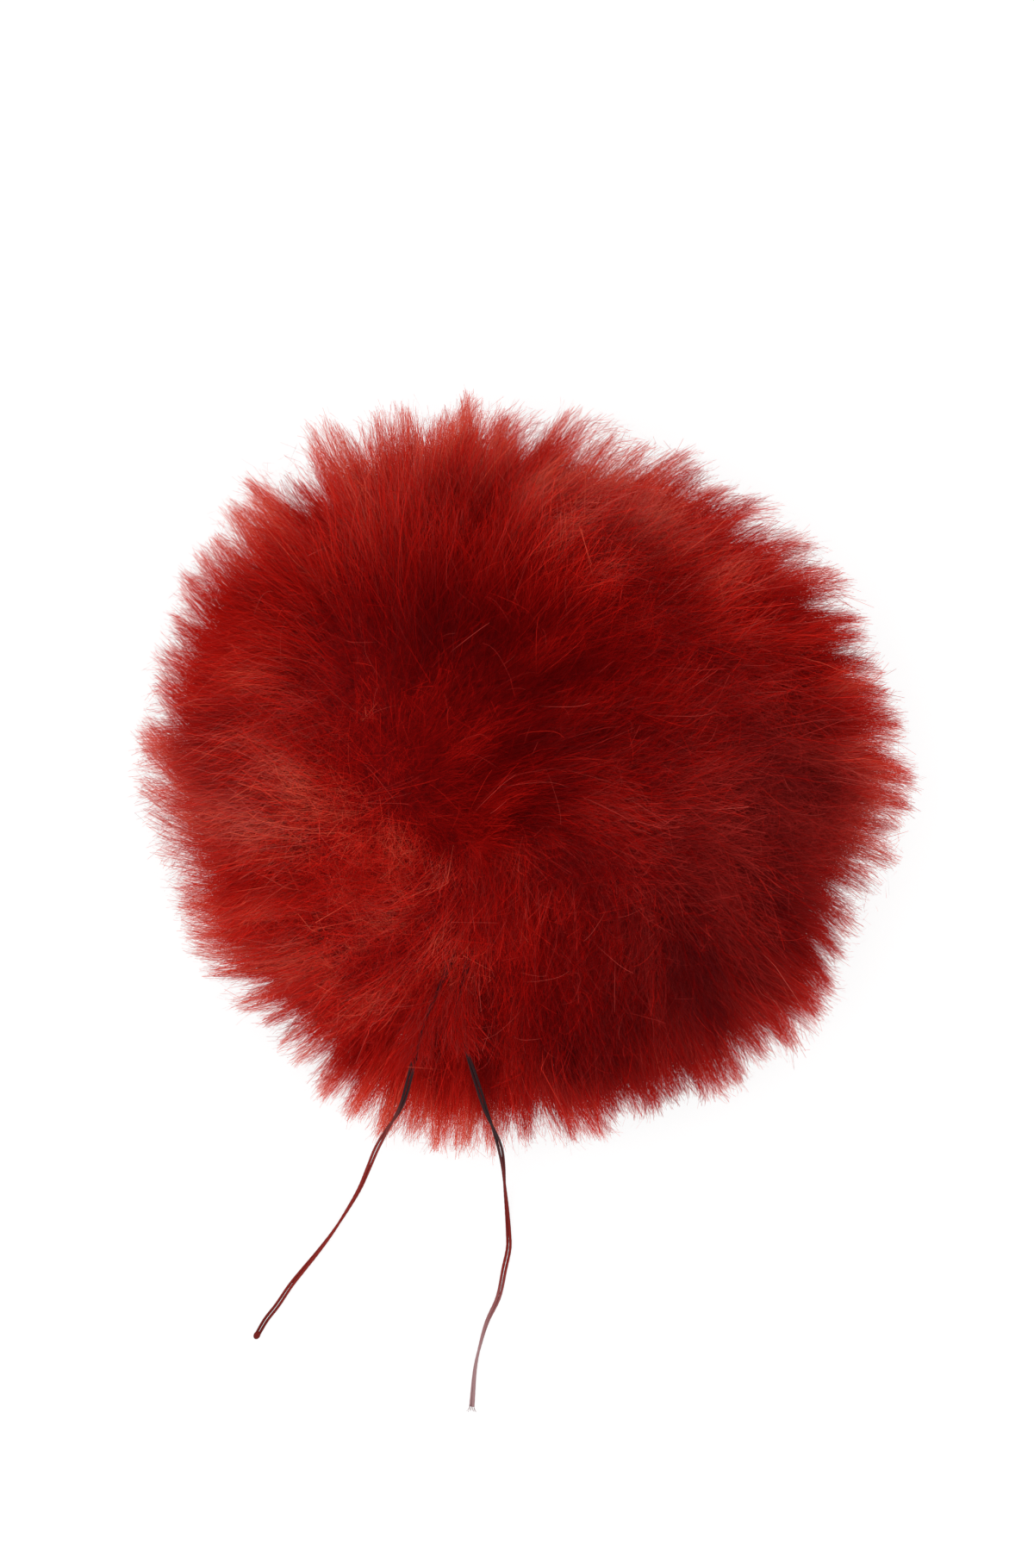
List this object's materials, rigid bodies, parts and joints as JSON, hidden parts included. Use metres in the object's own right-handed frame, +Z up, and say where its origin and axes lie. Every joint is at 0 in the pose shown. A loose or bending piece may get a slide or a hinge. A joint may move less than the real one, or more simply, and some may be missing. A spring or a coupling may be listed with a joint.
{
  "type": "fur pom pom with tie threads",
  "caption": "Round long-pile fur pom pom with a flat spot to rest on and a pair of doubled threads for tying it to a hat, bag or scarf.",
  "frame": {"origin": "middle of the flat spot that the ball rests on", "axes": "+Z up out of the surface, +X to the right and +Y to the top of the picture, with the free ends of the ties towards -Y"},
  "size_m": [0.139, 0.1878, 0.087],
  "materials": {
    "dyed_fur": "long soft pile dyed deep red",
    "thread": "doubled sewing thread, dark wine red"
  },
  "bodies": {
    "root": {"fur_ball": "dyed_fur", "tie_left": "thread", "tie_right": "thread"}
  },
  "joints": []
}
